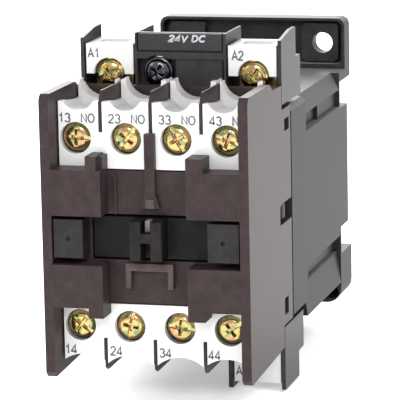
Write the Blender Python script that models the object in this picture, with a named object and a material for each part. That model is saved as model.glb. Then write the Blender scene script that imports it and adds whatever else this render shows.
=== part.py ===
"""Four-pole DIN rail contactor: front contact block, coil tier, magnet and rail base.

Frame: metres, +Z up, front facing -Y. The origin is the centre of the flat back of the centre bar,
on the centre line of the 35 mm rail. Dimensions below are in millimetres.
"""
import math

import bmesh
import bpy
from mathutils import Matrix, Vector

MM = 0.001

# Overall envelope
HALF_W = 19.5
WALL = 1.8
FRONT_Y = -84.3
DECK_Y = -79.2
COVER_Y = -79.0
BLOCK_BACK_Y = -58.1
SEAM_Y = -51.2
TIER_Y = -57.8
GROOVE_Y = -38.0
FLOOR_Y = -6.9
EAR_BACK_Y = 2.9

# Contact block
BLOCK_TOP = 26.2
BLOCK_BOTTOM = -26.5
POLES = (-14.25, -4.75, 4.75, 14.25)
PARTITIONS = (-9.5, 0.0, 9.5)
BAYS = ((-17.45, -9.86), (-9.14, -0.36), (0.36, 9.14), (9.86, 17.45))
SCREW_Z = 17.5
SCREW_R = 2.7
SCREW_HOLE_R = 2.95

# Coil tier
COIL_SCREW_X = 14.0
COIL_SCREW_Z = 26.2
TIER_TOP = 34.1
LOWER_SCREW_Z = -26.4

# Rail side
NOTCH_TOP = 17.7
NOTCH_BOTTOM = -17.8
BAR_HALF = 12.3
EAR_FRONT_Y = -2.0
EAR_TOP = 30.0
EAR_BOTTOM = -28.1
EAR_HOLE_X = 14.6
EAR_HOLE_Z = 24.8

# Front pads beside the carrier window: inner edge of each pad and of its upper tab
PAD_INNER = {-1.0: -8.2, 1.0: 7.8}
TAB_INNER = {-1.0: -9.0, 1.0: 7.8}

SCREW_SIDES = 28


def clear_scene():
    for obj in list(bpy.data.objects):
        bpy.data.objects.remove(obj, do_unlink=True)
    for mesh in list(bpy.data.meshes):
        bpy.data.meshes.remove(mesh)


def material(name, colour, roughness, metallic=0.0):
    made = bpy.data.materials.new(name)
    made.use_nodes = True
    shader = made.node_tree.nodes["Principled BSDF"]
    shader.inputs["Base Color"].default_value = (*colour, 1.0)
    shader.inputs["Roughness"].default_value = roughness
    shader.inputs["Metallic"].default_value = metallic
    return made


def from_bmesh(bm, name):
    bmesh.ops.recalc_face_normals(bm, faces=bm.faces)
    mesh = bpy.data.meshes.new(name)
    bm.to_mesh(mesh)
    bm.free()
    obj = bpy.data.objects.new(name, mesh)
    bpy.context.collection.objects.link(obj)
    return obj


def prism(axis, points, lo, hi):
    """Closed polygon swept along an axis. Points are (Y, Z), (X, Z) or (X, Y) for X, Y or Z."""
    bm = bmesh.new()
    rings = []
    for level in (lo, hi):
        ring = []
        for a, b in points:
            if axis == "X":
                place = (level, a, b)
            elif axis == "Y":
                place = (a, level, b)
            else:
                place = (a, b, level)
            ring.append(bm.verts.new(Vector(place) * MM))
        rings.append(ring)
    count = len(points)
    bm.faces.new(rings[0])
    bm.faces.new(list(reversed(rings[1])))
    for i in range(count):
        j = (i + 1) % count
        bm.faces.new((rings[0][i], rings[1][i], rings[1][j], rings[0][j]))
    return from_bmesh(bm, "piece")


def box(x0, x1, y0, y1, z0, z1):
    return prism("X", ((y0, z0), (y1, z0), (y1, z1), (y0, z1)), x0, x1)


def rod(axis, a, b, radius, lo, hi, sides=SCREW_SIDES):
    """Round bar along an axis through (a, b) of the other two coordinates."""
    points = []
    for i in range(sides):
        angle = 2.0 * math.pi * (i + 0.5) / sides
        points.append((a + radius * math.cos(angle), b + radius * math.sin(angle)))
    return prism(axis, points, lo, hi)


def tilted_rod(x, z_front, z_back, radius, front, back, sides=SCREW_SIDES):
    """Round bar running front to back whose centre line drops or rises on the way."""
    bar = rod("Y", x, z_front, radius, front, back, sides)
    for vertex in bar.data.vertices:
        if vertex.co.y > 0.5 * (front + back) * MM:
            vertex.co.z += (z_back - z_front) * MM
    return bar


def rounded(a0, a1, b0, b1, radius, steps=5):
    """Corner-rounded rectangle as a point list."""
    corners = ((a1 - radius, b1 - radius, 0), (a0 + radius, b1 - radius, 90),
               (a0 + radius, b0 + radius, 180), (a1 - radius, b0 + radius, 270))
    points = []
    for ca, cb, start in corners:
        for i in range(steps + 1):
            angle = math.radians(start + 90.0 * i / steps)
            points.append((ca + radius * math.cos(angle), cb + radius * math.sin(angle)))
    return points


def combine(obj, tools, operation):
    for tool in tools:
        modifier = obj.modifiers.new("join", "BOOLEAN")
        modifier.operation = operation
        modifier.solver = "EXACT"
        modifier.object = tool
    depsgraph = bpy.context.evaluated_depsgraph_get()
    mesh = bpy.data.meshes.new_from_object(obj.evaluated_get(depsgraph))
    obj.modifiers.clear()
    obj.data = mesh
    for tool in tools:
        bpy.data.objects.remove(tool, do_unlink=True)
    return obj


def fuse(obj, *tools):
    return combine(obj, tools, "UNION")


def cut(obj, *tools):
    return combine(obj, tools, "DIFFERENCE")


def finish(obj, name, paint, origin=None):
    """Tidy the mesh, name it, paint it and put its origin on the given point."""
    bm = bmesh.new()
    bm.from_mesh(obj.data)
    bmesh.ops.remove_doubles(bm, verts=bm.verts, dist=0.000002)
    bmesh.ops.dissolve_degenerate(bm, dist=0.000002, edges=bm.edges)
    bmesh.ops.dissolve_limit(bm, angle_limit=0.001, verts=bm.verts, edges=bm.edges)
    bmesh.ops.recalc_face_normals(bm, faces=bm.faces)
    if origin is not None:
        shift = Vector(origin) * MM
        bmesh.ops.translate(bm, verts=bm.verts, vec=-shift)
        obj.location = shift
    bm.to_mesh(obj.data)
    bm.free()
    obj.name = name
    obj.data.name = name
    obj.data.materials.clear()
    obj.data.materials.append(paint)
    return obj


def copy_of(obj, name, offset, paint=None, mirror_z=False):
    """Second piece of the same shape, moved by an offset, optionally mirrored top to bottom."""
    made = obj.copy()
    made.data = obj.data.copy()
    if mirror_z:
        flip = Matrix.Diagonal((1.0, 1.0, -1.0, 1.0))
        made.data.transform(flip)
        made.data.flip_normals()
        made.location.z = -made.location.z
    made.location = made.location + Vector(offset) * MM
    made.name = name
    made.data.name = name
    if paint is not None:
        made.data.materials.clear()
        made.data.materials.append(paint)
    bpy.context.collection.objects.link(made)
    return made


def helix(name, axis, centre, radius, wire, lo, hi, turns, paint):
    """Coil spring with squared-off flat ends, wound along an axis from lo to hi."""
    steps = int(turns * 12)
    section = 6
    bm = bmesh.new()
    rings = []
    for i in range(steps + 1):
        angle = 2.0 * math.pi * turns * i / steps
        level = lo + wire + (hi - lo - 2.0 * wire) * i / steps
        ring = []
        for k in range(section):
            tilt = 2.0 * math.pi * k / section
            reach = radius + wire * math.cos(tilt)
            a = centre[0] + reach * math.cos(angle)
            b = centre[1] + reach * math.sin(angle)
            height = level + wire * math.sin(tilt)
            place = (a, height, b) if axis == "Y" else (a, b, height)
            ring.append(bm.verts.new(Vector(place) * MM))
        rings.append(ring)
    bm.faces.new(rings[0])
    bm.faces.new(list(reversed(rings[-1])))
    for i in range(steps):
        for k in range(section):
            j = (k + 1) % section
            bm.faces.new((rings[i][k], rings[i + 1][k], rings[i + 1][j], rings[i][j]))
    spring = from_bmesh(bm, name)
    spring.data.materials.append(paint)
    return spring


# ---------------------------------------------------------------- contact block


def side_wall(x0, x1):
    outline = ((-83.3, BLOCK_BOTTOM), (-58.1, -25.4), (-58.1, -21.2), (SEAM_Y, -21.2), (SEAM_Y, 20.0),
               (-58.1, 20.0), (-58.1, 24.6), (-65.2, 24.8), (-67.0, 26.1), (-83.3, BLOCK_TOP),
               (FRONT_Y, 25.2), (FRONT_Y, -25.5))
    return prism("X", outline, x0, x1)


def front_housing(paint):
    body = box(-19.0, 19.0, DECK_Y, -58.4, -11.7, 11.7)
    body = fuse(body,
                box(-18.6, 18.6, DECK_Y, -77.4, -13.0, -11.0),
                side_wall(-HALF_W, -HALF_W + WALL),
                side_wall(HALF_W - WALL, HALF_W),
                box(-18.6, 18.6, -60.6, BLOCK_BACK_Y, 11.0, 24.4),
                box(-18.6, 18.6, -60.6, BLOCK_BACK_Y, -25.2, -11.0),
                box(-18.6, 18.6, -58.6, SEAM_Y, 18.2, 20.0),
                box(-18.6, 18.6, -58.6, SEAM_Y, -21.2, -19.4))
    for x in PARTITIONS:
        top = ((-79.0, 18.9), (-79.0, 24.7), (-77.9, 26.2), (-65.2, 26.0), (-60.3, 24.2),
               (-60.3, 11.2), (-77.1, 11.2), (-77.1, 18.9))
        low = ((-79.0, -20.1), (-79.0, -25.4), (-78.0, -26.0), (-66.0, -25.8), (-60.3, -25.0),
               (-60.3, -11.2), (-77.1, -11.2), (-77.1, -20.1))
        body = fuse(body, prism("X", top, x - 0.2, x + 0.2), prism("X", low, x - 0.2, x + 0.2))
    body = cut(body,
               box(-17.7, 17.7, -77.4, -57.0, -10.0, 10.0),
               box(-17.7, 17.7, -58.3, -50.0, -19.4, 18.2))
    for x in POLES:
        body = cut(body,
                   box(x - 2.8, x + 2.8, -62.9, -60.55, 8.5, 13.5),
                   box(x - 2.8, x + 2.8, -62.9, -60.55, -14.7, -9.5))
    return front_details(body, paint)


def front_details(body, paint):
    for side in (-1.0, 1.0):
        lo, hi = sorted((PAD_INNER[side], 18.6 * side))
        tab_lo, tab_hi = sorted((TAB_INNER[side], 11.0 * side))
        low_lo, low_hi = sorted((PAD_INNER[side], 11.0 * side))
        body = fuse(body,
                    box(lo, hi, FRONT_Y, DECK_Y + 0.5, 3.9, 11.6),
                    box(lo, hi, FRONT_Y, DECK_Y - 0.1, 8.0, 12.4),
                    box(lo, hi, FRONT_Y, DECK_Y + 0.5, -13.2, -5.2),
                    box(tab_lo, tab_hi, FRONT_Y + 0.001, -79.3, 10.0, 15.0),
                    box(low_lo, low_hi, FRONT_Y + 0.001, -79.3, -15.0, -11.0))
    body = fuse(body, box(-9.2, PAD_INNER[-1.0], -82.6, -79.3, 10.0, 14.8))
    arch = ((-4.8, -9.9), (-3.9, -9.9), (-3.9, -6.6), (3.2, -6.6), (3.2, -9.9), (4.1, -9.9),
            (4.1, -5.3), (-4.8, -5.3))
    body = fuse(body,
                prism("Y", arch, -80.6, -78.6),
                box(-0.95, 0.95, -80.4, -78.6, 7.0, 11.6),
                box(-0.95, 0.95, -80.4, -79.2, 11.0, 18.7),
                prism("Y", ((-1.0, 7.5), (1.0, 7.5), (1.8, 5.0), (-1.8, 5.0)), -80.4, -78.6),
                box(-7.0, -6.5, -79.7, -78.6, 0.0, 11.0))
    body = cut(body,
               box(-11.4, 11.4, -80.0, -77.0, -4.9, 3.6))
    for side in (-1.0, 1.0):
        lo, hi = sorted((17.0 * side, 20.0 * side))
        slot_lo, slot_hi = sorted((18.7 * side, 20.0 * side))
        opening = [(-60.3, -1.5), (-58.6, -1.6), (-50.0, -1.6), (-50.0, 2.3), (-58.6, 2.3), (-60.3, 1.9)]
        body = cut(body,
                   prism("X", opening, lo, hi),
                   box(slot_lo, slot_hi, -56.2, -52.5, 15.7, 18.0),
                   box(slot_lo, slot_hi, -57.6, -54.5, -19.3, -16.1))
    return finish(body, "front_housing", paint)


def upper_cover(paint):
    body = box(-17.45, 17.45, COVER_Y, -77.4, 11.95, 24.25)
    for lo, hi in BAYS:
        shelf = ((-78.0, 21.2), (-63.0, 21.2), (-63.0, 23.0), (-69.5, 23.2), (-78.0, 24.15))
        body = fuse(body,
                    prism("X", shelf, lo, hi),
                    box(lo, hi, -66.3, -62.0, 20.0, 26.4))
    for lo, hi in BAYS:
        centre = 0.5 * (lo + hi)
        body = cut(body,
                   tilted_rod(centre, 25.85, 24.9, 3.2, -80.0, -69.4),
                   rod("Y", centre, 26.3, 3.4, -67.0, -61.0),
                   rod("Y", centre, 26.9, 4.1, -64.2, -61.0),
                   box(lo + 0.7, hi - 0.7, -69.5, -66.3, 19.5, 25.5))
    for x in PARTITIONS:
        body = cut(body, box(x - 0.36, x + 0.36, -80.0, -76.0, 18.6, 25.0))
    for x in POLES:
        body = cut(body, rod("Y", x, SCREW_Z, SCREW_HOLE_R, -80.0, -76.0))
    return finish(body, "upper_terminal_cover", paint)


def lower_cover(paint):
    body = box(-17.45, 17.45, COVER_Y, -77.4, -25.2, -13.3)
    for lo, hi in BAYS:
        body = fuse(body, box(lo, hi, -78.0, -66.0, -25.2, -21.5))
    for lo, hi in BAYS:
        centre = 0.5 * (lo + hi)
        body = cut(body,
                   rod("Y", centre, -29.7, 6.7, -80.0, -65.0, 48),
                   box(lo + 0.7, hi - 0.7, -70.2, -67.0, -26.5, -20.5))
    for x in PARTITIONS:
        body = cut(body, box(x - 0.36, x + 0.36, -80.0, -76.0, -26.0, -19.8))
    for x in POLES:
        body = cut(body, rod("Y", x, -SCREW_Z, SCREW_HOLE_R, -80.0, -76.0))
    return finish(body, "lower_terminal_cover", paint)


def slotted_screw(name, x, z, head, depth, tip, radius, paint):
    """Cheese-head clamp screw with a combined cross and slot recess."""
    body = rod("Y", x, z, radius, head, head + depth)
    body = fuse(body, rod("Y", x, z, 1.45, head + depth - 0.4, tip, 20))
    body = cut(body,
               box(x - radius - 0.5, x + radius + 0.5, head - 0.5, head + 0.7, z - 0.42, z + 0.42),
               box(x - 0.42, x + 0.42, head - 0.5, head + 1.1, z - 1.65, z + 1.65))
    return finish(body, name, paint, (x, head + depth, z))


def clamp_washer(name, x, z, paint):
    body = box(x - 3.3, x + 3.3, -76.3, -75.4, z - 3.4, z + 3.4)
    body = fuse(body,
                box(x - 3.3, x - 2.6, -75.8, -74.9, z - 3.4, z + 3.4),
                box(x + 2.6, x + 3.3, -75.8, -74.9, z - 3.4, z + 3.4))
    body = cut(body, rod("Y", x, z, 1.75, -77.0, -74.0, 20))
    return finish(body, name, paint)


def fixed_contact(name, x, paint):
    """Terminal pad, step back along the chamber wall and contact tip."""
    outline = ((-74.5, 20.8), (-73.3, 20.8), (-73.3, 13.5), (-62.0, 13.5), (-61.0, 12.5), (-61.0, 5.7),
               (-62.0, 5.7), (-62.0, 6.0), (-62.35, 6.0), (-62.35, 8.4), (-62.0, 8.4), (-62.0, 12.3),
               (-74.5, 12.3))
    body = prism("X", outline, x - 2.4, x + 2.4)
    pad = box(x - 3.4, x + 3.4, -74.5, -73.3, 14.4, 20.8)
    body = fuse(body, pad)
    body = cut(body, rod("Y", x, SCREW_Z, 1.75, -75.0, -72.5, 20))
    return finish(body, name, paint)


def contact_bridge(name, x, paint):
    body = box(x - 2.2, x + 2.2, -66.0, -65.0, -9.0, 9.0)
    body = fuse(body,
                box(x - 1.7, x + 1.7, -65.3, -64.5, 6.0, 8.4),
                box(x - 1.7, x + 1.7, -65.3, -64.5, -8.4, -6.0))
    return finish(body, name, paint, (x, -65.5, 0.0))


def contact_carrier(paint):
    body = box(-16.8, 16.8, -73.0, -62.5, -4.2, 4.0)
    body = fuse(body,
                box(-11.1, 11.1, -79.5, -72.5, -4.5, 3.2),
                box(-3.0, 3.0, -84.1, -79.0, -4.1, 3.2),
                box(-4.0, 4.0, -63.0, -56.9, -4.2, 4.0))
    for x in POLES:
        body = cut(body, box(x - 2.6, x + 2.6, -71.6, -64.7, -6.0, 6.0))
    body = cut(body,
               box(-0.9, 0.9, -85.0, -80.6, 1.0, 5.0),
               box(-0.9, 0.9, -85.0, -80.6, -5.0, -0.8))
    return finish(body, "contact_carrier", paint, (0.0, -70.0, 0.0))


def blanking_cover(name, x0, x1, paint):
    body = box(x0, x1, -83.9, -79.5, -3.9, 3.2)
    middle = 0.5 * (x0 + x1)
    body = cut(body,
               rod("Y", middle, -0.3, 0.45, -84.5, -83.4, 12))
    return finish(body, name, paint)


# ---------------------------------------------------------------- coil and magnet


def tier_top(body):
    body = fuse(body,
                box(-HALF_W, HALF_W, TIER_Y, -42.3, 20.9, 28.4),
                prism("X", ((TIER_Y, 28.0), (-45.9, 28.0), (-45.9, 34.1), (-50.0, 34.1), (TIER_Y, 33.0)),
                      -HALF_W, -18.8),
                prism("X", ((TIER_Y, 28.0), (-45.9, 28.0), (-45.9, 34.1), (-50.0, 34.1), (TIER_Y, 33.0)),
                      18.8, HALF_W),
                box(-8.8, 8.9, TIER_Y, -45.9, 28.0, TIER_TOP))
    for side in (-1.0, 1.0):
        lo, hi = sorted(((8.9 if side > 0 else 8.8) * side, 18.7 * side))
        body = cut(body, box(lo, hi, -59.0, -47.4, 21.9, 29.5))
    body = cut(body,
               box(-8.4, 8.4, -59.0, -55.4, 22.0, 29.2),
               box(-8.4, 8.4, -59.0, -57.1, 30.5, 36.0))
    body = cut(body, box(-8.3, 8.4, -56.0, -44.0, 29.6, 36.0))
    body = fuse(body, box(-0.9, 8.1, -57.4, -55.0, 23.6, 29.6))
    body = cut(body,
               rod("Y", -4.6, 26.6, 3.25, -59.0, -55.4),
               rod("Y", -4.6, 26.6, 1.75, -58.0, -46.5, 20))
    return body


def coil_housing(paint):
    body = box(-17.0, 17.0, -49.6, -48.0, -17.0, 17.0)
    body = fuse(body,
                rod("Y", 0.0, 0.0, 6.6, -49.3, -13.6, 32),
                rod("Y", 0.0, 0.0, 14.2, -14.6, -13.2, 40),
                box(9.4, 16.0, -50.1, -46.0, 15.5, 21.5),
                box(-16.0, -9.4, -50.1, -46.0, 15.5, 21.5),
                box(9.4, 16.6, -50.1, -46.0, -22.5, -15.5),
                box(8.3, HALF_W, -57.8, -42.3, -28.8, -21.6),
                box(8.3, HALF_W, -57.8, -46.3, -33.8, -28.5))
    body = tier_top(body)
    body = cut(body,
               box(9.2, 18.7, -59.0, -47.8, -35.0, -22.6),
               box(-7.4, 7.4, -51.0, -47.0, 14.9, 17.5),
               box(-7.4, 7.4, -51.0, -47.0, -17.5, -14.9),
               box(15.9, 17.5, -51.0, -47.0, -1.6, 2.3),
               box(-17.5, -15.9, -51.0, -47.0, -1.6, 2.3),
               rod("Y", 0.0, 0.0, 5.3, -52.0, -12.0, 32))
    return finish(body, "coil_housing", paint)


def coil_winding(paint):
    body = rod("Y", 0.0, 0.0, 13.4, -47.7, -14.9, 40)
    body = cut(body, rod("Y", 0.0, 0.0, 6.9, -49.0, -14.0, 32))
    return finish(body, "coil_winding", paint)


def coil_cover(name, side, paint):
    """Finger-safe shroud of one coil terminal with its half-round screw opening."""
    lo, hi = sorted((9.2 * side, 18.5 * side))
    x = COIL_SCREW_X * side
    body = box(lo, hi, -57.5, -56.2, 26.1, 31.9)
    body = fuse(body, box(lo, hi, -57.0, -47.8, 30.0, 31.9))
    body = cut(body,
               rod("Y", x, COIL_SCREW_Z, 3.0, -58.5, -55.5),
               box(x - 2.8, x + 2.8, -55.0, -50.4, 29.0, 33.0))
    return finish(body, name, paint)


def lower_coil_cover(name, paint):
    x = COIL_SCREW_X
    body = box(9.4, 18.5, -57.5, -56.2, -32.6, -23.0)
    body = fuse(body, box(9.4, 18.5, -57.0, -48.2, -32.6, -30.8))
    body = cut(body,
               rod("Y", x, LOWER_SCREW_Z, 3.0, -58.5, -55.5),
               box(x - 2.8, x + 2.8, -55.0, -50.4, -33.6, -30.0))
    return finish(body, name, paint)


def coil_strip(name, x, z, paint):
    """Coil terminal plate, tapped for the clamp screw."""
    body = box(x - 3.6, x + 3.6, -53.6, -52.4, z - 3.2, z + 2.8)
    body = cut(body, rod("Y", x, z, 1.75, -54.5, -51.0, 20))
    return finish(body, name, paint)


def phillips_screw(paint):
    x = -4.6
    z = 26.6
    profile = rod("Y", x, z, 2.9, -56.9, -55.7)
    body = fuse(profile,
                rod("Y", x, z, 2.4, -57.5, -56.7),
                rod("Y", x, z, 1.45, -56.2, -47.2, 20))
    body = cut(body,
               box(x - 1.5, x + 1.5, -58.0, -56.3, z - 0.4, z + 0.4),
               box(x - 0.4, x + 0.4, -58.0, -56.3, z - 1.5, z + 1.5))
    return finish(body, "housing_screw", paint, (x, -55.7, z))


def label_plate(paint):
    return finish(box(-8.1, 8.1, -57.7, -57.3, 30.8, 34.0), "rating_label", paint)


def magnet_yoke(paint):
    body = box(-7.0, 7.0, -12.2, -9.0, -16.9, 16.9)
    body = fuse(body,
                box(-7.0, 7.0, -50.0, -9.5, 15.2, 16.9),
                box(-7.0, 7.0, -50.0, -9.5, -16.9, -15.2))
    return finish(body, "magnet_yoke", paint)


def magnet_core(paint):
    body = rod("Y", 0.0, 0.0, 5.0, -50.0, -12.5, 32)
    return finish(body, "magnet_core", paint)


def armature(paint):
    body = box(-9.0, 9.0, -56.6, -53.2, -16.8, 16.8)
    return finish(body, "armature", paint, (0.0, -55.0, 0.0))


# ---------------------------------------------------------------- rail base


def base_shell():
    half = ((0.0, 19.6), (17.7, 19.6), (19.5, 16.2), (17.85, 16.2), (17.85, 12.7), (19.5, 12.7),
            (19.5, -13.9), (17.85, -13.9), (17.85, -17.4), (18.6, -17.4), (19.5, -23.8), (0.0, -23.8))
    outline = [(x, z) for x, z in half[1:-1]] + [(-x, z) for x, z in reversed(half[1:-1])]
    strip = ((18.6, 19.6), (19.5, 18.6), (19.5, -20.8), (-19.5, -20.8), (-19.5, 18.6), (-18.6, 19.6))
    body = prism("Y", outline, GROOVE_Y - 0.4, FLOOR_Y)
    return fuse(body,
                prism("Y", strip, -50.4, GROOVE_Y),
                box(17.5, 18.6, -24.0, -7.2, 12.5, 16.4),
                box(-18.6, -17.5, -24.0, -7.2, 12.5, 16.4))


def base_ears(body):
    lower = rounded(-HALF_W, HALF_W, EAR_BOTTOM, -10.0, 3.0)
    upper = rounded(-HALF_W, HALF_W, 17.0, EAR_TOP, 1.6)
    body = fuse(body,
                prism("Y", lower, FLOOR_Y - 0.6, EAR_BACK_Y),
                prism("Y", upper, EAR_FRONT_Y, EAR_BACK_Y),
                box(-HALF_W, HALF_W, FLOOR_Y - 0.6, EAR_BACK_Y, 12.0, 19.6))
    body = cut(body,
               box(-20.0, 20.0, FLOOR_Y, 4.0, NOTCH_BOTTOM, NOTCH_TOP),
               prism("Y", rounded(-18.95, 18.95, 20.6, 29.45, 1.4), -10.0, 1.4),
               prism("Y", rounded(-18.9, 18.9, -27.5, -24.4, 1.4), -10.0, 1.4))
    body = fuse(body,
                box(-HALF_W, HALF_W, FLOOR_Y - 0.5, 0.0, -BAR_HALF, BAR_HALF),
                prism("Y", rounded(10.2, 17.9, 20.9, 28.7, 1.2), -0.6, 1.8),
                prism("Y", rounded(-17.9, -10.2, 20.9, 28.7, 1.2), -0.6, 1.8),
                box(5.0, 11.5, -3.3, -0.3, 16.6, 18.2),
                box(-11.5, -5.0, -3.3, -0.3, 16.6, 18.2))
    slot = [(-16.7, -30.0), (-16.7, -25.6)]
    for i in range(1, 12):
        angle = math.pi * (1.0 - i / 12.0)
        slot.append((-14.6 + 2.1 * math.cos(angle), -25.6 + 1.2 * math.sin(angle)))
    slot += [(-12.5, -25.6), (-12.5, -30.0)]
    return cut(body,
               rod("Y", EAR_HOLE_X, EAR_HOLE_Z, 2.1, -2.0, 4.0),
               prism("Y", slot, -1.0, 4.0))


def base_housing(paint):
    body = base_ears(base_shell())
    body = cut(body,
               box(-17.7, 17.7, -52.0, -38.5, -19.0, 17.8),
               box(-15.8, 15.8, -39.0, -8.6, -17.3, 17.3),
               box(-16.4, 16.4, -52.0, -45.6, 17.0, 20.5),
               box(8.8, 17.0, -52.0, -45.6, -22.0, -18.0),
               box(-7.3, 7.3, -3.6, 4.0, -30.0, -17.0),
               box(-8.5, 8.5, -3.6, -1.4, -30.0, -17.0),
               box(-2.6, 2.6, -6.3, -3.0, -26.8, -18.4))
    for side in (-1.0, 1.0):
        lo, hi = sorted((16.3 * side, 17.4 * side))
        root_lo, root_hi = sorted((16.3 * side, 18.2 * side))
        nub_lo, nub_hi = sorted((17.0 * side, 18.9 * side))
        body = fuse(body,
                    box(lo, hi, -59.2, -45.0, -1.2, 1.9),
                    box(root_lo, root_hi, -50.5, -45.0, -1.2, 1.9),
                    prism("Z", ((nub_lo, -54.0), (nub_hi, -54.0),
                                (nub_hi, -56.0 if side > 0 else -54.6),
                                (nub_lo, -58.6)) if side > 0 else
                          ((nub_hi, -54.0), (nub_lo, -54.0), (nub_lo, -56.0), (nub_hi, -58.6)),
                          -1.0, 1.7))
    return finish(body, "base_housing", paint)


def rail_latch(paint):
    """Sliding rail latch with a chamfered hook above and a screwdriver eye below."""
    profile = ((-3.3, -31.0), (2.4, -31.0), (2.4, -18.2), (-0.3, -18.2), (-0.3, -16.6), (-1.2, -16.6),
               (-3.3, -17.4))
    body = prism("X", profile, -7.0, 7.0)
    body = fuse(body,
                box(-8.2, 8.2, -3.3, -1.7, -28.0, -18.6),
                box(-2.2, 2.2, -5.9, -2.8, -20.3, -19.0))
    body = cut(body, box(-2.5, 2.5, -4.0, 3.0, -30.1, -28.9))
    return finish(body, "rail_latch", paint, (0.0, 0.0, -24.0))


def build():
    clear_scene()
    brown = material("housing_brown_plastic", (0.055, 0.045, 0.047), 0.5)
    grey = material("coil_tier_plastic", (0.060, 0.052, 0.055), 0.5)
    base_grey = material("base_plastic", (0.075, 0.066, 0.070), 0.5)
    white = material("terminal_cover_white", (0.80, 0.80, 0.79), 0.45)
    coil_white = material("coil_cover_white", (0.80, 0.80, 0.79), 0.45)
    black = material("insert_black_plastic", (0.02, 0.02, 0.022), 0.45)
    carrier_black = material("carrier_black_plastic", (0.018, 0.018, 0.02), 0.45)
    latch_black = material("latch_plastic", (0.03, 0.028, 0.03), 0.5)
    label = material("rating_label_plate", (0.05, 0.048, 0.052), 0.4)
    gold = material("yellow_zinc_screw", (0.62, 0.50, 0.22), 0.3, 1.0)
    coil_gold = material("yellow_zinc_coil_screw", (0.62, 0.50, 0.22), 0.3, 1.0)
    dark_screw = material("black_zinc_screw", (0.05, 0.055, 0.055), 0.35, 0.8)
    washer_steel = material("zinc_washer", (0.55, 0.56, 0.58), 0.35, 1.0)
    brass = material("brass_strip", (0.70, 0.52, 0.25), 0.35, 1.0)
    coil_brass = material("coil_terminal_brass", (0.70, 0.52, 0.25), 0.35, 1.0)
    silver = material("silvered_bridge", (0.72, 0.70, 0.66), 0.3, 1.0)
    spring_steel = material("spring_steel", (0.50, 0.51, 0.53), 0.35, 1.0)
    copper = material("winding_copper", (0.48, 0.20, 0.10), 0.4, 0.6)
    iron = material("yoke_steel", (0.42, 0.42, 0.43), 0.45, 1.0)
    core_iron = material("core_steel", (0.46, 0.46, 0.47), 0.4, 1.0)
    armature_iron = material("armature_steel", (0.44, 0.44, 0.45), 0.42, 1.0)

    front_housing(brown)
    upper_cover(white)
    lower_cover(white)
    contact_carrier(carrier_black)
    blanking_cover("blanking_cover_left", -17.4, -11.9, black)
    blanking_cover("blanking_cover_right", 11.6, 17.4, black)

    first_screw = None
    for number, x in enumerate(POLES, start=1):
        for level, sign in (("upper", 1.0), ("lower", -1.0)):
            name = "terminal_screw_" + level + "_" + str(number)
            if first_screw is None:
                first_screw = slotted_screw(name, x, SCREW_Z, -78.6, 2.0, -70.0, SCREW_R, gold)
            else:
                copy_of(first_screw, name, (x - POLES[0], 0.0, sign * SCREW_Z - SCREW_Z))
            clamp_washer("clamp_washer_" + level + "_" + str(number), x, sign * SCREW_Z, washer_steel)
        strip = fixed_contact("fixed_contact_upper_" + str(number), x, brass)
        copy_of(strip, "fixed_contact_lower_" + str(number), (0.0, 0.0, 0.0), mirror_z=True)
        contact_bridge("contact_bridge_" + str(number), x, silver)
        helix("contact_spring_" + str(number), "Y", (x, 0.0), 1.5, 0.22, -71.4, -66.2, 4, spring_steel)
    helix("return_spring_left", "Y", (-13.4, 0.0), 1.9, 0.25, -62.3, -49.8, 6, spring_steel)
    helix("return_spring_right", "Y", (13.4, 0.0), 1.9, 0.25, -62.3, -49.8, 6, spring_steel)

    coil_housing(grey)
    coil_winding(copper)
    coil_cover("coil_cover_a1", -1.0, coil_white)
    coil_cover("coil_cover_a2", 1.0, coil_white)
    lower_coil_cover("coil_cover_a2_lower", coil_white)
    coil_strip("coil_strip_a1", -COIL_SCREW_X, COIL_SCREW_Z, coil_brass)
    coil_strip("coil_strip_a2", COIL_SCREW_X, COIL_SCREW_Z, coil_brass)
    coil_strip("coil_strip_a2_lower", COIL_SCREW_X, LOWER_SCREW_Z, coil_brass)
    slotted_screw("coil_screw_a1", -COIL_SCREW_X, COIL_SCREW_Z, -57.3, 2.0, -49.5, 2.8, coil_gold)
    slotted_screw("coil_screw_a2", COIL_SCREW_X, COIL_SCREW_Z, -57.3, 2.0, -49.5, 2.8, coil_gold)
    slotted_screw("coil_screw_a2_lower", COIL_SCREW_X, LOWER_SCREW_Z, -57.3, 2.0, -49.5, 2.8, coil_gold)
    phillips_screw(dark_screw)
    label_plate(label)
    magnet_yoke(iron)
    magnet_core(core_iron)
    armature(armature_iron)

    base_housing(base_grey)
    rail_latch(latch_black)
    helix("latch_spring", "Z", (0.0, -4.9), 0.95, 0.2, -26.6, -20.5, 6, spring_steel)


build()
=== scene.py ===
"""Looks of the DIN rail contactor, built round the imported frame.

Lengths are in millimetres until they reach a mesh, in the part's own frame: the front faces -Y,
+X is the viewer's right and +Z is up.
"""
import math
from collections import namedtuple

import bmesh
import bpy
from mathutils import Matrix, Vector


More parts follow.
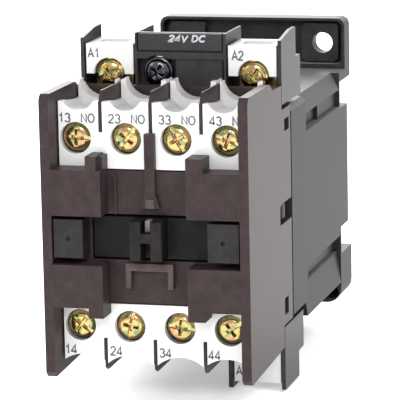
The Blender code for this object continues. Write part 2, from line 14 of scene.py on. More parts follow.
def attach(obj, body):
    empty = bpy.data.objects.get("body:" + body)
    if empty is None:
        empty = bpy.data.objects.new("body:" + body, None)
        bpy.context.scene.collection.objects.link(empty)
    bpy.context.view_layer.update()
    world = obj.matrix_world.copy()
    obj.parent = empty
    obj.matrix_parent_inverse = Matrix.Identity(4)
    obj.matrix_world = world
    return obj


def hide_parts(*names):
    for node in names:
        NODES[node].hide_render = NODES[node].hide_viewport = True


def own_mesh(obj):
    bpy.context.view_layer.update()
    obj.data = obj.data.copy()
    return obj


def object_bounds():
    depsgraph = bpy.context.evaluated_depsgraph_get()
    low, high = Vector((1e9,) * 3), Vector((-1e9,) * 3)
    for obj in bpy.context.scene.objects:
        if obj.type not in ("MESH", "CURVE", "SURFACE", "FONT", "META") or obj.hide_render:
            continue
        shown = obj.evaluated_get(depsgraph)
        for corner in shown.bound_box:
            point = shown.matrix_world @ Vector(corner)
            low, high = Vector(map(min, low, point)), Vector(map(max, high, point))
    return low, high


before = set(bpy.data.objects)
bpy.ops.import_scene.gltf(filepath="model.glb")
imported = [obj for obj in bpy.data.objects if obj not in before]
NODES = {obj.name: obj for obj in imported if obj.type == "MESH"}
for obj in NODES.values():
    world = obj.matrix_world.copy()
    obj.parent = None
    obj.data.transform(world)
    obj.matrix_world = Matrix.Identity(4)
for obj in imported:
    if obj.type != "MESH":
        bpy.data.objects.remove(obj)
CAD_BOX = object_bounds()
MM = 0.001

# ---------------------------------------------------------------- sizes, millimetres

Screw = namedtuple("Screw", "front depth radius shank tip")          # shank: radius of the thread
Recess = namedtuple("Recess", "half_long half_wide depth taper")     # taper: width left at the floor
Spring = namedtuple("Spring", "radius wire start end turns keep")    # keep: share of length, squashed
Row = namedtuple("Row", "left right bottom top")                     # rectangle that a text fills

PLATE_FRONT = -79.0            # front plane of both terminal covers
COIL_PLATE_FRONT = -57.5       # front plane of the coil terminal covers
LABEL_FRONT = -57.7            # front plane of the rating plate

POLE_PITCH = 9.5
POLES = tuple((k - 1.5) * POLE_PITCH for k in range(4))
TERMINAL_Z = 17.5
TERMINAL_SCREW = Screw(-78.6, 2.0, 2.7, 1.45, -70.0)
UPPER_TURNS = (4.0, 128.0, 62.0, 20.0)             # degrees that each slot stands from level
LOWER_TURNS = (38.0, 100.0, 8.0, 145.0)

COIL_SCREW = Screw(-57.3, 2.0, 2.8, 1.45, -49.5)
COIL_SCREWS = (("coil_screw_a1", -14.0, 26.2, 152.0), ("coil_screw_a2", 14.0, 26.2, 33.0),
               ("coil_screw_a2_lower", 14.0, -26.4, 75.0))

HOUSING_SCREW = Screw(-57.5, 1.8, 2.9, 1.45, -47.2)
HOUSING_SCREW_PLACE = (-4.6, 0.0, 26.6)
HOUSING_SCREW_TURN = 28.0

THREAD_PITCH = 0.7
THREAD_HEIGHT = 0.22
NECK = 0.15                    # plain length between the head and the first ridge
COLLAR_R = 2.12                # bright crown inside, duller collar outside
CLAMP_RECESS = Recess(1.55, 0.34, 1.25, 0.62)
CLAMP_SLOT_OVERHANG = 0.5      # how far the slot cutter runs past the head on each side
CLAMP_SLOT_HALF_WIDE = 0.36
CLAMP_SLOT_DEPTH = 0.75
PAN_RECESS = Recess(1.5, 0.33, 1.2, 0.5)
CUTTER_LEAD = 1.0              # how far a cutter starts in front of the head

CONTACT_SPRING = Spring(1.5, 0.22, -71.4, -66.2, 5.0, 0.81)
RETURN_SPRING = Spring(1.9, 0.25, -62.3, -49.8, 7.0, 0.76)
RETURN_SPRING_X = 13.4
LATCH_SPRING = Spring(0.95, 0.2, -26.6, -20.5, 7.0, 0.43)            # stands upright
LATCH_SPRING_Y = -4.9

# A near-black frame in the seam gap: painted shade in the seam.
TONGUE_OUTER = (-18.4, 18.4, -20.0, 18.8)          # X and Z limits
TONGUE_INNER = (-17.3, 17.3, -18.6, 17.3)
TONGUE_Y = (-51.15, -50.45)

GUARD_RIB = ((-4.85, -9.95), (-3.85, -9.95), (-3.85, -6.65), (3.15, -6.65), (3.15, -9.95),
             (4.15, -9.95), (4.15, -5.25), (-4.85, -5.25))
GUARD_RIB_Y = (-80.75, -79.3)
RIB_END = (-0.85, 0.85, 4.95, 6.7)
RIB_END_Y = (-80.7, -79.6)
RIB_END_EDGE = 0.15            # edge radius

# The carrier's tip: name, X and Z limits, Y limits, paint, edge radius.
CARRIER_TIP = (
    ("carrier_tip_left", (-3.02, -0.95, -4.05, 3.15), (-84.16, -83.0), "tip", 0.12),
    ("carrier_tip_right", (0.95, 3.02, -4.05, 3.15), (-84.16, -83.0), "tip", 0.12),
    ("carrier_tip_bridge", (-0.95, 0.95, -0.75, 0.95), (-84.12, -83.0), "tip", 0.08),
    # the tab's light grey is a painted highlight on a small tab in the carrier's slot
    ("carrier_tip_tab", (-0.45, 0.55, 1.05, 3.15), (-82.6, -80.65), "pale_tab", 0.1),
)

INK = 0.02                     # half the thickness of the printed film
PEN = 0.15                     # half the width of a pen stroke
MITRE = 0.45                   # a smaller value lets sharp corners of a stroke reach further out
LABEL_PEN = 0.16
LABEL_SLANT = 0.25
GLYPH_GAP = 0.14               # space between two characters, in the units of GLYPHS
UPPER_NUMBER = Row(-17.40, -15.15, 20.40, 21.95)   # both rows are given for the first pole
UPPER_NO = Row(-13.1, -10.55, 20.40, 21.95)
LOWER_NUMBERS = (("1", -17.35), ("2", -8.6), ("3", 0.8), ("4", 10.1))
LOWER_NUMBER_WIDTH = 2.2
LOWER_NUMBER_Z = (-23.05, -21.45)
COIL_MARKS = (("mark_a1", "A1", -18.1, 29.25), ("mark_a2", "A2", 10.0, 29.2),
              ("mark_a2_lower", "A2", 9.8, -31.3))
COIL_MARK_SIZE = (2.15, 1.65)
RATING = "24V DC"
RATING_ROW = Row(-2.2, 5.1, 32.55, 33.65)

# ---------------------------------------------------------------- camera, floor and light, metres

AZIMUTH, ELEVATION, ROLL = 0.2628, 0.1882, -0.02   # radians
CAMERA_PLACE = (0.14506, -0.58460, 0.10633)
LENS = 264.6                   # millimetres, on the sensor below
SENSOR = 36.0
CLIP = (0.02, 50.0)
FLOOR_SIZE = 6.0
FLOOR_GAP = 0.0005
FLOOR_WHITE = 0.95
FLOOR_GLOW = 0.35              # keeps the shadow under the object pale
SKY_STRENGTH = 0.95

# Each disc light: name, place, target, diameter, watts.
LIGHTS = (
    ("key", (0.60, -0.45, 0.85), (0.0, -0.04, 0.0), 0.35, 5.5),
    ("front_fill", (0.05, -0.95, 0.45), (0.0, -0.06, 0.0), 0.20, 3.5),
    ("left_fill", (-0.7, -0.5, 0.5), (0.0, -0.04, 0.0), 0.4, 1.5),
    ("back_rim", (-0.40, 0.80, 0.60), (0.0, -0.02, 0.02), 0.7, 12.0),
)

# ---------------------------------------------------------------- surfaces

# Noise scales are in cells per metre and relief depths in metres.
FLOW_SCALE = 320.0             # flow mottling of moulded plastic
GRAIN_SCALE = 2600.0           # its spark-eroded grain
GRAIN_DEPTH = 0.00008
POLISH = 0.07                  # how far the roughness of plastic wanders
# Grey painted on the faces that look up: painted light on the dark base, painted shade on the white covers.
TOP_LIGHT_AND_SHADE_GREY = (0.23, 0.225, 0.235, 1.0)
TOP_LIGHT_AND_SHADE_FACING = (0.10, 0.75)     # upward share of the normal where the painted top light and shade starts and is full
ZINC_BLOTCH_SCALE = 640.0
ZINC_STREAK_SCALE = 2100.0
ZINC_SCRATCH_DEPTH = 0.00005
METAL_BLOTCH_SCALE = 420.0
METAL_STREAK_SCALE = 1800.0
METAL_SCRATCH_DEPTH = 0.00004

WELD = 0.000001                # metres
FLAT_ANGLE = 0.5               # degrees: faces that meet at less are joined
NODE_EDGE_ANGLE = 32.0         # edges sharper than these are rounded, on nodes and on pieces
PIECE_EDGE_ANGLE = 35.0
SMOOTH_ANGLE = 40.0            # smooth shading stops at sharper edges

SCREW_PAINTS = ("screw", "screw_rim")
PLAIN_BEVEL = 0.06             # edge radius of a node that BEVELS doesn't list

# ---------------------------------------------------------------- camera, floor, light


def make_camera():
    back = Vector((math.sin(AZIMUTH) * math.cos(ELEVATION), -math.cos(AZIMUTH) * math.cos(ELEVATION),
                   math.sin(ELEVATION)))
    level = Vector((math.cos(AZIMUTH), math.sin(AZIMUTH), 0.0))
    upright = back.cross(level)
    right = level * math.cos(ROLL) + upright * math.sin(ROLL)
    up = upright * math.cos(ROLL) - level * math.sin(ROLL)
    data = bpy.data.cameras.new("camera")
    data.lens = LENS
    data.sensor_width = SENSOR
    data.clip_start, data.clip_end = CLIP
    camera = bpy.data.objects.new("camera", data)
    rows = [(right[k], up[k], back[k], CAMERA_PLACE[k]) for k in range(3)]
    camera.matrix_world = Matrix((*rows, (0.0, 0.0, 0.0, 1.0)))
    bpy.context.collection.objects.link(camera)
    bpy.context.scene.camera = camera


def area_light(name, place, target, size, power):
    data = bpy.data.lights.new(name, "AREA")
    data.shape = "DISK"
    data.size = size
    data.energy = power
    light = bpy.data.objects.new(name, data)
    light.location = place
    direction = Vector(target) - Vector(place)
    light.rotation_euler = direction.to_track_quat("-Z", "Y").to_euler()
    bpy.context.collection.objects.link(light)


def make_floor():
    bm = bmesh.new()
    bmesh.ops.create_grid(bm, x_segments=8, y_segments=8, size=FLOOR_SIZE)
    floor = as_object("floor", bm)
    floor.location = (0.0, 0.0, CAD_BOX[0][2] - FLOOR_GAP)
    paint = bpy.data.materials.new("floor_paint")
    paint.use_nodes = True
    shader = paint.node_tree.nodes["Principled BSDF"]
    shader.inputs["Base Color"].default_value = (FLOOR_WHITE, FLOOR_WHITE, FLOOR_WHITE, 1.0)
    shader.inputs["Roughness"].default_value = 0.9
    shader.inputs["Emission Color"].default_value = (1.0, 1.0, 1.0, 1.0)
    shader.inputs["Emission Strength"].default_value = FLOOR_GLOW
    floor.data.materials.append(paint)


def make_studio():
    world = bpy.data.worlds.new("studio")
    world.use_nodes = True
    sky = world.node_tree.nodes["Background"]
    sky.inputs["Color"].default_value = (1.0, 1.0, 1.0, 1.0)
    sky.inputs["Strength"].default_value = SKY_STRENGTH
    bpy.context.scene.world = world
    bpy.context.scene.view_settings.view_transform = "Standard"
    for name, place, target, size, power in LIGHTS:
        area_light(name, place, target, size, power)


# ---------------------------------------------------------------- materials


def wire(tree, source, output, target, socket):
    tree.links.new(source.outputs[output], target.inputs[socket])


def new_paint(name):
    paint = bpy.data.materials.new(name)
    paint.use_nodes = True
    tree = paint.node_tree
    return paint, tree, tree.nodes["Principled BSDF"], tree.nodes.new("ShaderNodeTexCoord")


def noise(tree, coords, scale, detail):
    node = tree.nodes.new("ShaderNodeTexNoise")
    node.inputs["Scale"].default_value = scale
    node.inputs["Detail"].default_value = detail
    wire(tree, coords, "Object", node, "Vector")
    return node


def two_tone(tree, source, low, high, start, stop):
    ramp = tree.nodes.new("ShaderNodeValToRGB")
    ramp.color_ramp.elements[0].position = start
    ramp.color_ramp.elements[1].position = stop
    ramp.color_ramp.elements[0].color = (*low, 1.0)
    ramp.color_ramp.elements[1].color = (*high, 1.0)
    wire(tree, source, "Fac", ramp, "Fac")
    return ramp


def remap(tree, source, low, high, shader, socket):
    node = tree.nodes.new("ShaderNodeMapRange")
    node.inputs["To Min"].default_value = low
    node.inputs["To Max"].default_value = high
    wire(tree, source, "Fac", node, "Value")
    wire(tree, node, "Result", shader, socket)


def relief(tree, source, strength, depth, shader):
    bump = tree.nodes.new("ShaderNodeBump")
    bump.inputs["Strength"].default_value = strength
    bump.inputs["Distance"].default_value = depth
    wire(tree, source, "Fac", bump, "Height")
    wire(tree, bump, "Normal", shader, "Normal")


def plastic(name, colour, roughness, grain=0.35, mottle=0.28, gloss=0.5):
    """Moulded plastic: fine spark-eroded grain, faint flow mottling and slightly polished patches."""
    paint, tree, shader, coords = new_paint(name)
    shader.inputs["Specular IOR Level"].default_value = gloss
    flow = noise(tree, coords, FLOW_SCALE, 8.0)
    flow.inputs["Roughness"].default_value = 0.75
    low = [c * (1.0 - mottle) for c in colour]
    high = [min(1.0, c * (1.0 + mottle)) for c in colour]
    ramp = two_tone(tree, flow, low, high, 0.35, 0.65)
    wire(tree, ramp, "Color", shader, "Base Color")
    remap(tree, flow, roughness - POLISH, roughness + POLISH, shader, "Roughness")
    relief(tree, noise(tree, coords, GRAIN_SCALE, 2.0), grain, GRAIN_DEPTH, shader)
    return paint


def top_light_and_shade_plastic(name, painted_top_share, colour, roughness, **look):
    """Moulded plastic with a grey painted on the faces that look up: painted light on dark plastic, painted
    shade on white plastic.
    """
    paint = plastic(name, colour, roughness, **look)
    tree = paint.node_tree
    shader = tree.nodes["Principled BSDF"]
    plain_colour = shader.inputs["Base Color"].links[0].from_socket
    facing = tree.nodes.new("ShaderNodeNewGeometry")
    parts = tree.nodes.new("ShaderNodeSeparateXYZ")
    wire(tree, facing, "Normal", parts, "Vector")
    painted_top_mask = tree.nodes.new("ShaderNodeMapRange")
    painted_top_mask.inputs["From Min"].default_value, painted_top_mask.inputs["From Max"].default_value = TOP_LIGHT_AND_SHADE_FACING
    painted_top_mask.inputs["To Max"].default_value = painted_top_share
    wire(tree, parts, "Z", painted_top_mask, "Value")
    # mixes the painted top light and shade into the plastic's colour
    film = tree.nodes.new("ShaderNodeMix")
    film.data_type = "RGBA"
    film.inputs["B"].default_value = TOP_LIGHT_AND_SHADE_GREY
    wire(tree, painted_top_mask, "Result", film, "Factor")
    tree.links.new(plain_colour, film.inputs["A"])
    wire(tree, film, "Result", shader, "Base Color")
    return paint


def chromate(name, gold, green, rose, roughness):
    """Yellow passivated zinc: iridescent blotches from gold through olive to rose, over a bright plate."""
    paint, tree, shader, coords = new_paint(name)
    shader.inputs["Metallic"].default_value = 1.0
    blotch = noise(tree, coords, ZINC_BLOTCH_SCALE, 2.5)
    ramp = two_tone(tree, blotch, green, rose, 0.36, 0.66)
    middle = ramp.color_ramp.elements.new(0.50)
    middle.color = (*gold, 1.0)
    wire(tree, ramp, "Color", shader, "Base Color")
    streaks = noise(tree, coords, ZINC_STREAK_SCALE, 2.0)
    remap(tree, streaks, roughness - 0.05, roughness + 0.10, shader, "Roughness")
    relief(tree, streaks, 0.35, ZINC_SCRATCH_DEPTH, shader)
    return paint


def metal(name, colour, roughness, tint=None, scratch=0.3):
    """Plated or machined metal: blotchy passivation tint, uneven polish and fine scratches."""
    paint, tree, shader, coords = new_paint(name)
    shader.inputs["Metallic"].default_value = 1.0
    blotch = noise(tree, coords, METAL_BLOTCH_SCALE, 3.0)
    second = tint if tint is not None else [c * 0.75 for c in colour]
    ramp = two_tone(tree, blotch, colour, second, 0.38, 0.62)
    wire(tree, ramp, "Color", shader, "Base Color")
    streaks = noise(tree, coords, METAL_STREAK_SCALE, 2.0)
    remap(tree, streaks, roughness - 0.06, roughness + 0.12, shader, "Roughness")
    relief(tree, streaks, scratch, METAL_SCRATCH_DEPTH, shader)
    return paint


PAINTS = {
    "front_housing": plastic("front_housing_paint", (0.0330, 0.0220, 0.0228), 0.40, gloss=0.14),
    "coil_housing": plastic("coil_housing_paint", (0.0290, 0.0255, 0.0275), 0.42, gloss=0.20),
    # the base's upward faces are painted lighter: painted light from above
    "base_housing": top_light_and_shade_plastic("base_housing_paint", 0.55, (0.0240, 0.0212, 0.0235), 0.50, gloss=0.14),
    # the covers' upward faces are painted greyer: painted shade
    "white": top_light_and_shade_plastic("terminal_cover_paint", 0.75, (0.68, 0.68, 0.675), 0.36, grain=0.12,
                           mottle=0.02),
    "black": plastic("black_insert_paint", (0.0165, 0.0145, 0.0165), 0.36, grain=0.3, mottle=0.45,
                     gloss=0.16),
    "carrier": plastic("carrier_paint", (0.0080, 0.0074, 0.0082), 0.42, grain=0.3, gloss=0.10),
    # lighter brown than the front housing, for the guard rib and the end of the centre rib
    "worn_rib": plastic("pale_rib_paint", (0.0620, 0.0440, 0.0430), 0.38, mottle=0.35, gloss=0.22),
    # light grey: painted highlight on the carrier's tab
    "pale_tab": plastic("tab_highlight_paint", (0.1500, 0.1300, 0.1250), 0.35, mottle=0.3, gloss=0.3),
    "tip": plastic("carrier_tip_paint", (0.0130, 0.0105, 0.0110), 0.42, mottle=0.4, gloss=0.12),
    "latch": plastic("latch_paint", (0.0120, 0.0110, 0.0120), 0.45, gloss=0.25),
    "label": plastic("label_paint", (0.0160, 0.0145, 0.0160), 0.35, grain=0.1, gloss=0.35),
    "ink_dark": plastic("ink_dark_paint", (0.085, 0.085, 0.095), 0.6, grain=0.05, mottle=0.25),
    "ink_light": plastic("ink_light_paint", (0.46, 0.46, 0.50), 0.5, grain=0.05, mottle=0.12),
    "screw": chromate("yellow_zinc_paint", (0.56, 0.44, 0.16), (0.25, 0.29, 0.15),
                      (0.46, 0.26, 0.16), 0.14),
    "screw_rim": chromate("zinc_rim_paint", (0.27, 0.26, 0.20), (0.17, 0.20, 0.16),
                          (0.24, 0.19, 0.16), 0.22),
    "dark_screw": metal("black_zinc_paint", (0.060, 0.075, 0.078), 0.20, tint=(0.11, 0.10, 0.12)),
    "washer": metal("washer_paint", (0.40, 0.40, 0.38), 0.26),
    "brass": metal("brass_paint", (0.60, 0.43, 0.20), 0.28, tint=(0.46, 0.30, 0.13)),
    "silver": metal("silver_paint", (0.66, 0.64, 0.60), 0.26),
    "spring": metal("spring_paint", (0.44, 0.45, 0.47), 0.24),
    "copper": metal("winding_paint", (0.48, 0.20, 0.09), 0.36, tint=(0.34, 0.12, 0.05)),
    "iron": metal("iron_paint", (0.34, 0.34, 0.35), 0.40),
}

NODE_PAINT = {
    "front_housing": "front_housing", "coil_housing": "coil_housing", "base_housing": "base_housing",
    "upper_terminal_cover": "white", "lower_terminal_cover": "white", "coil_cover_a1": "white",
    "coil_cover_a2": "white", "coil_cover_a2_lower": "white", "blanking_cover_left": "black",
    "blanking_cover_right": "black", "contact_carrier": "carrier", "rail_latch": "latch",
    "rating_label": "label", "coil_winding": "copper", "magnet_yoke": "iron", "magnet_core": "iron",
    "armature": "iron", "housing_screw": "dark_screw",
}
PREFIX_PAINT = (("terminal_screw", "screw"), ("coil_screw", "screw"), ("clamp_washer", "washer"),
                ("fixed_contact", "brass"), ("coil_strip", "brass"), ("contact_bridge", "silver"),
                ("contact_spring", "spring"), ("return_spring", "spring"), ("latch_spring", "spring"))

BEVELS = {
    "front_housing": 0.16, "coil_housing": 0.16, "base_housing": 0.2, "upper_terminal_cover": 0.12,
    "lower_terminal_cover": 0.12, "coil_cover_a1": 0.12, "coil_cover_a2": 0.12,
    "coil_cover_a2_lower": 0.12, "blanking_cover_left": 0.15, "blanking_cover_right": 0.15,
    "contact_carrier": 0.12, "rail_latch": 0.15, "magnet_yoke": 0.15, "armature": 0.15,
}


def paint_of(node):
    if node in NODE_PAINT:
        return PAINTS[NODE_PAINT[node]]
    for prefix, key in PREFIX_PAINT:
        if node.startswith(prefix):
            return PAINTS[key]
    raise ValueError(node)


def soften(obj, width):
    """Small moulded radius on the sharp edges."""
    weld = obj.modifiers.new("weld", "WELD")
    weld.merge_threshold = WELD
    flat = obj.modifiers.new("flat", "DECIMATE")
    flat.decimate_type = "DISSOLVE"
    flat.angle_limit = math.radians(FLAT_ANGLE)
    bevel = obj.modifiers.new("bevel", "BEVEL")
    bevel.width = width * MM
    bevel.segments = 2
    bevel.limit_method = "ANGLE"
    bevel.angle_limit = math.radians(NODE_EDGE_ANGLE)
    bevel.use_clamp_overlap = True


def dress_nodes():
    for node, obj in NODES.items():
        obj.data.materials.clear()
        obj.data.materials.append(paint_of(node))
        soften(obj, BEVELS.get(node, PLAIN_BEVEL))


# ---------------------------------------------------------------- mesh helpers


def lathe(profile, segments=48):
    """Closed solid turned about the Y axis from (radius, y) points; its two ends are on the axis."""
    bm = bmesh.new()
    rings = []
    for radius, y in profile[1:-1]:
        rings.append([bm.verts.new((radius * math.cos(math.tau * k / segments) * MM, y * MM,
                                    radius * math.sin(math.tau * k / segments) * MM))
                      for k in range(segments)])
    for end, ring in ((profile[0], rings[0]), (profile[-1], rings[-1])):
        tip = bm.verts.new((0.0, end[1] * MM, 0.0))
        for k in range(segments):
            bm.faces.new((tip, ring[k], ring[(k + 1) % segments]))
    for first, second in zip(rings, rings[1:]):
        for k in range(segments):
            j = (k + 1) % segments
            bm.faces.new((first[k], second[k], second[j], first[j]))
    bmesh.ops.recalc_face_normals(bm, faces=bm.faces)
    return bm


def wedge(front, half_long, half_wide, depth, taper):
    """Slot cutter: a bar lying along X, open at the front and narrower by taper at its floor."""
    bm = bmesh.new()
    corners = []
    for y, shrink in ((front - CUTTER_LEAD, 1.0), (front, 1.0), (front + depth, taper)):
        corners.append([bm.verts.new((x * half_long * shrink * MM, y * MM, z * half_wide * shrink * MM))
                        for x, z in ((-1, -1), (1, -1), (1, 1), (-1, 1))])
    bm.faces.new(corners[0])
    bm.faces.new(corners[-1])
    for first, second in zip(corners, corners[1:]):
        for k in range(4):
            bm.faces.new((first[k], first[(k + 1) % 4], second[(k + 1) % 4], second[k]))
    bmesh.ops.recalc_face_normals(bm, faces=bm.faces)
    return bm


def as_mesh(name, bm):
    mesh = bpy.data.meshes.new(name)
    bm.to_mesh(mesh)
    bm.free()
    return mesh


def as_object(name, bm):
    obj = bpy.data.objects.new(name, as_mesh(name, bm))
    bpy.context.collection.objects.link(obj)
    return obj


def baked(obj):
    """The object's mesh with its modifiers applied."""
    bpy.context.view_layer.update()
    depsgraph = bpy.context.evaluated_depsgraph_get()
    return bpy.data.meshes.new_from_object(obj.evaluated_get(depsgraph))


def carve(body, cutters, width=0.05):
    """Cuts each cutter from the body, rounds the sharp edges and drops the blanks."""
    for cutter in cutters:
        cut = body.modifiers.new("cut", "BOOLEAN")
        cut.operation = "DIFFERENCE"
        cut.solver = "EXACT"
        cut.object = cutter
    edge = body.modifiers.new("edge", "BEVEL")
    edge.width = width * MM
    edge.segments = 2
    edge.limit_method = "ANGLE"
    edge.angle_limit = math.radians(PIECE_EDGE_ANGLE)
    mesh = baked(body)
    for used in (body, *cutters):
        bpy.data.objects.remove(used)
    mesh.shade_smooth()
    mesh.set_sharp_from_angle(angle=math.radians(SMOOTH_ANGLE))
    return mesh


def piece(name, mesh, paint, place=(0.0, 0.0, 0.0), turn=0.0):
    """A separate copy of the mesh, turned about Y and set at a place in millimetres."""
    own = mesh.copy()
    own.name = name
    own.transform(Matrix.Translation(Vector(place) * MM) @ Matrix.Rotation(math.radians(turn), 4, "Y"))
    own.materials.clear()
    for key in (paint if isinstance(paint, tuple) else (paint,)):
        own.materials.append(PAINTS[key])
    obj = bpy.data.objects.new(name, own)
    bpy.context.collection.objects.link(obj)
    return obj


# ---------------------------------------------------------------- screws


def thread(screw):
    """Ridged profile of a screw shank, from the back of its head to its blunt tip."""
    root = screw.shank - THREAD_HEIGHT
    y = screw.front + screw.depth
    points = [(root, y)]
    y += NECK
    while y + THREAD_PITCH < screw.tip - 0.5:
        points += [(root, y), (screw.shank, y + 0.4 * THREAD_PITCH), (screw.shank, y + 0.55 * THREAD_PITCH)]
        y += THREAD_PITCH
    return points + [(root, y), (root, screw.tip - 0.4), (screw.shank - 0.5, screw.tip), (0.0, screw.tip)]


def cross_cutters(front, recess, angles):
    """The wings of a cross recess, at these angles in degrees from level."""
    wings = []
    for angle in angles:
        wing = as_object("wing_cutter", wedge(front, *recess))
        wing.data.transform(Matrix.Rotation(math.radians(angle), 4, "Y"))
        wings.append(wing)
    return wings


def clamp_screw(screw):
    """Cheese-head clamp screw with a full slot crossed by a Pozidriv-like recess."""
    front, depth, radius = screw.front, screw.depth, screw.radius
    rim = [(0.0, front), (1.2, front + 0.02), (COLLAR_R - 0.15, front + 0.12), (COLLAR_R, front + 0.22),
           (COLLAR_R + 0.08, front + 0.45), (radius - 0.30, front + 0.55), (radius - 0.08, front + 0.72),
           (radius, front + 0.95), (radius, front + depth - 0.25), (radius - 0.15, front + depth)]
    body = as_object("screw_blank", lathe(rim + thread(screw)))
    slot = as_object("slot_cutter", wedge(front, radius + CLAMP_SLOT_OVERHANG, CLAMP_SLOT_HALF_WIDE,
                                          CLAMP_SLOT_DEPTH, 1.0))
    mesh = carve(body, (slot, *cross_cutters(front, CLAMP_RECESS, (90.0, 0.0))))
    for face in mesh.polygons:
        if math.hypot(face.center.x, face.center.z) > COLLAR_R * MM:
            face.material_index = 1
    return mesh


def phillips_screw(screw):
    """Flanged pan-head screw with a cross recess."""
    front, depth, radius = screw.front, screw.depth, screw.radius
    rim = [(0.0, front), (1.25, front + 0.03), (1.95, front + 0.22), (2.30, front + 0.55),
           (2.40, front + 0.80), (radius - 0.15, front + 0.85), (radius, front + 1.0),
           (radius, front + depth - 0.15), (radius - 0.15, front + depth)]
    body = as_object("pan_blank", lathe(rim + thread(screw)))
    return carve(body, cross_cutters(front, PAN_RECESS, (0.0, 90.0)))


def stand_in(obj, node, body):
    """The detailed piece takes the place of a CAD node and moves with a body."""
    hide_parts(node)
    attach(obj, body)


def make_screws():
    terminal = clamp_screw(TERMINAL_SCREW)
    rows = (("upper", TERMINAL_Z, UPPER_TURNS), ("lower", -TERMINAL_Z, LOWER_TURNS))
    for row, z, turns in rows:
        for number, (x, turn) in enumerate(zip(POLES, turns), start=1):
            node = f"terminal_screw_{row}_{number}"
            screw = piece(f"{node}_detail", terminal, SCREW_PAINTS, (x, 0.0, z), turn)
            stand_in(screw, node, node)
    coil = clamp_screw(COIL_SCREW)
    for node, x, z, turn in COIL_SCREWS:
        screw = piece(f"{node}_detail", coil, SCREW_PAINTS, (x, 0.0, z), turn)
        stand_in(screw, node, node)
    housing = piece("housing_screw_detail", phillips_screw(HOUSING_SCREW), "dark_screw",
                    HOUSING_SCREW_PLACE, HOUSING_SCREW_TURN)
    stand_in(housing, "housing_screw", "housing_screw")


# ---------------------------------------------------------------- springs


def coil_height(spring, turn):
    """Y of the wire's centre after that many turns; the first and last turns lie closed."""
    low, high = spring.start + spring.wire, spring.end - spring.wire
    closed = 2.0 * spring.wire
    if turn < 1.0:
        return low + closed * turn
    if turn > spring.turns - 1.0:
        return high - closed * (spring.turns - turn)
    return low + closed + (high - low - 2.0 * closed) * (turn - 1.0) / (spring.turns - 2.0)


def spring_mesh(name, spring, sides=10, steps=28):
    """Round-wire compression spring along Y with closed end coils."""
    count = int(spring.turns * steps)
    bm = bmesh.new()
    rings = []
    for k in range(count + 1):
        turn = spring.turns * k / count
        out = Vector((math.cos(math.tau * turn), 0.0, math.sin(math.tau * turn)))
        centre = out * spring.radius + Vector((0.0, coil_height(spring, turn), 0.0))
        ring = []
        for s in range(sides):
            angle = math.tau * s / sides
            around = out * math.cos(angle) + Vector((0.0, math.sin(angle), 0.0))
            ring.append(bm.verts.new((centre + around * spring.wire) * MM))
        rings.append(ring)
    for first, second in zip(rings, rings[1:]):
        for s in range(sides):
            t = (s + 1) % sides
            bm.faces.new((first[s], second[s], second[t], first[t]))
    bm.faces.new(rings[0])
    bm.faces.new(rings[-1])
    bmesh.ops.recalc_face_normals(bm, faces=bm.faces)
    mesh = as_mesh(name, bm)
    mesh.shade_smooth()
    return mesh


def make_springs():
    contact = spring_mesh("contact_spring", CONTACT_SPRING)
    for number, x in enumerate(POLES, start=1):
        coil = piece(f"contact_spring_{number}_coil", contact, "spring", (x, 0.0, 0.0))
        stand_in(coil, f"contact_spring_{number}", "carrier")
        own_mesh(coil)
    back = spring_mesh("return_spring", RETURN_SPRING)
    for side, x in (("left", -RETURN_SPRING_X), ("right", RETURN_SPRING_X)):
        coil = piece(f"return_spring_{side}_coil", back, "spring", (x, 0.0, 0.0))
        stand_in(coil, f"return_spring_{side}", "base")
        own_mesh(coil)
    upright = spring_mesh("latch_spring", LATCH_SPRING)
    upright.transform(Matrix.Translation((0.0, LATCH_SPRING_Y * MM, 0.0))
                      @ Matrix.Rotation(math.radians(90.0), 4, "X"))
    coil = piece("latch_spring_coil", upright, "spring")
    stand_in(coil, "latch_spring", "base")
    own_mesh(coil)


# ---------------------------------------------------------------- printed characters


def bow(cx, cz, rx, rz, start, stop, steps=10):
    """Points along an elliptical arc, angles in degrees from the +X side, anticlockwise."""
    return [(cx + rx * math.cos(math.radians(start + (stop - start) * k / steps)),
             cz + rz * math.sin(math.radians(start + (stop - start) * k / steps)))
            for k in range(steps + 1)]


# Each character is a list of pen strokes in a box 1 high; its first number is its width.
GLYPHS = {
    "1": (0.52, [[(0.10, 0.74), (0.24, 0.80), (0.33, 1.0), (0.33, 0.0)]]),
    "2": (0.58, [bow(0.29, 0.72, 0.25, 0.28, 175, -35) + [(0.04, 0.05), (0.04, 0.0), (0.56, 0.0)]]),
    "3": (0.58, [bow(0.28, 0.76, 0.23, 0.24, 165, -75), bow(0.28, 0.27, 0.26, 0.27, 85, -165)]),
    "4": (0.60, [[(0.43, 0.0), (0.43, 1.0), (0.03, 0.30), (0.03, 0.25), (0.59, 0.25)]]),
    "A": (0.70, [[(0.02, 0.0), (0.35, 1.0), (0.68, 0.0)], [(0.14, 0.33), (0.56, 0.33)]]),
    "N": (0.66, [[(0.05, 0.0), (0.05, 1.0), (0.61, 0.0), (0.61, 1.0)]]),
    "O": (0.78, [bow(0.39, 0.5, 0.35, 0.5, 90, 450, 24)]),
    "V": (0.68, [[(0.02, 1.0), (0.34, 0.0), (0.66, 1.0)]]),
    "D": (0.70, [[(0.06, 0.0), (0.06, 1.0)] + bow(0.28, 0.5, 0.36, 0.5, 90, -90) + [(0.06, 0.0)]]),
    "C": (0.70, [bow(0.38, 0.5, 0.34, 0.5, 42, 318, 20)]),
    " ": (0.26, []),
}


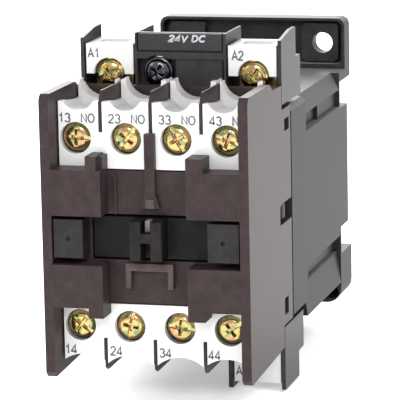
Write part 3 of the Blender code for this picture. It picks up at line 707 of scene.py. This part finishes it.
def stroke(bm, points, half, front):
    """Flat ribbon along the points, with mitred corners, as a closed film of ink."""
    count = len(points)
    sides = []
    for k, point in enumerate(points):
        here = Vector(point)
        before = (here - Vector(points[k - 1])).normalized() if k > 0 else None
        after = (Vector(points[k + 1]) - here).normalized() if k < count - 1 else None
        along = ((before or after) + (after or before)).normalized()
        across = Vector((-along.y, along.x))
        reach = half / max(MITRE, across.dot(Vector((-(after or before).y, (after or before).x))))
        sides.append((here + across * reach, here - across * reach))
    rings = []
    for left, right in sides:
        rings.append([bm.verts.new(Vector((p.x, front + y, p.y)) * MM)
                      for p, y in ((left, -INK), (right, -INK), (right, INK), (left, INK))])
    for first, second in zip(rings, rings[1:]):
        for k in range(4):
            bm.faces.new((first[k], second[k], second[(k + 1) % 4], first[(k + 1) % 4]))
    bm.faces.new(rings[0])
    bm.faces.new(rings[-1])


def printed(name, text, row, front, paint, slot, pen=PEN, slant=0.0):
    """Characters printed inside the row's rectangle on a face towards -Y."""
    height = row.top - row.bottom
    total = sum(GLYPHS[c][0] for c in text) + GLYPH_GAP * (len(text) - 1)
    stretch = (row.right - row.left - slant * height) / total
    bm = bmesh.new()
    pen_x = 0.0
    for character in text:
        width, strokes = GLYPHS[character]
        for points in strokes:
            stroke(bm, [(row.left + (pen_x + x) * stretch + slant * z * height, row.bottom + z * height)
                        for x, z in points], pen, front)
        pen_x += width + GLYPH_GAP
    bmesh.ops.recalc_face_normals(bm, faces=bm.faces)
    mark = piece(name, as_mesh(name, bm), paint)
    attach(mark, "base")


def make_marks():
    cover = (PLATE_FRONT, "ink_dark", "terminal_cover_white")
    for k, tens in enumerate("1234"):
        for name, text, first in ((f"mark_{tens}3", f"{tens}3", UPPER_NUMBER),
                                  (f"mark_no_{tens}", "NO", UPPER_NO)):
            shift = k * POLE_PITCH
            row = Row(shift + first.left, shift + first.right, first.bottom, first.top)
            printed(name, text, row, *cover)
    for tens, left in LOWER_NUMBERS:
        printed(f"mark_{tens}4", f"{tens}4", Row(left, left + LOWER_NUMBER_WIDTH, *LOWER_NUMBER_Z), *cover)
    wide, high = COIL_MARK_SIZE
    for name, text, left, bottom in COIL_MARKS:
        printed(name, text, Row(left, left + wide, bottom, bottom + high), COIL_PLATE_FRONT,
                "ink_dark", "coil_cover_white")
    printed("mark_rating", RATING, RATING_ROW, LABEL_FRONT, "ink_light", "rating_label_plate",
            pen=LABEL_PEN, slant=LABEL_SLANT)


# ---------------------------------------------------------------- moulded details


def plate(name, outline, planes, paint, body, edge=0.05):
    """Thin moulded piece with rounded edges, from an (x, z) outline between two Y planes."""
    bm = bmesh.new()
    faces = []
    for y in planes:
        faces.append([bm.verts.new((x * MM, y * MM, z * MM)) for x, z in outline])
        bm.faces.new(faces[-1])
    count = len(outline)
    for k in range(count):
        j = (k + 1) % count
        bm.faces.new((faces[0][k], faces[0][j], faces[1][j], faces[1][k]))
    bmesh.ops.recalc_face_normals(bm, faces=bm.faces)
    part = piece(name, carve(as_object(name + "_blank", bm), (), edge), paint)
    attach(part, body)


def rectangle(x0, x1, z0, z1):
    return [(x0, z0), (x1, z0), (x1, z1), (x0, z1)]


def make_shaded_seam_tongue():
    """Recessed tongue that closes the seam between the contact block and the base; its near-black carrier
    paint is painted shade in the seam.
    """
    bm = bmesh.new()
    loops = [[bm.verts.new((x * MM, y * MM, z * MM)) for x, z in outline]
             for outline, y in ((rectangle(*TONGUE_OUTER), TONGUE_Y[0]),
                                (rectangle(*TONGUE_OUTER), TONGUE_Y[1]),
                                (rectangle(*TONGUE_INNER), TONGUE_Y[1]),
                                (rectangle(*TONGUE_INNER), TONGUE_Y[0]))]
    for first, second in zip(loops, loops[1:] + loops[:1]):
        for k in range(4):
            j = (k + 1) % 4
            bm.faces.new((first[k], first[j], second[j], second[k]))
    bmesh.ops.recalc_face_normals(bm, faces=bm.faces)
    # near-black carrier paint: painted shade in the seam
    tongue = piece("seam_shade_tongue", carve(as_object("tongue_blank", bm), ()), "carrier")
    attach(tongue, "base")


def make_details():
    plate("front_guard_rib", GUARD_RIB, GUARD_RIB_Y, "worn_rib", "base")
    plate("centre_rib_end", rectangle(*RIB_END), RIB_END_Y, "worn_rib", "base",
          RIB_END_EDGE)
    for name, limits, planes, paint, edge in CARRIER_TIP:
        plate(name, rectangle(*limits), planes, paint, "carrier", edge)


make_camera()
make_floor()
make_studio()
dress_nodes()
make_screws()
make_springs()
make_details()
make_shaded_seam_tongue()
make_marks()
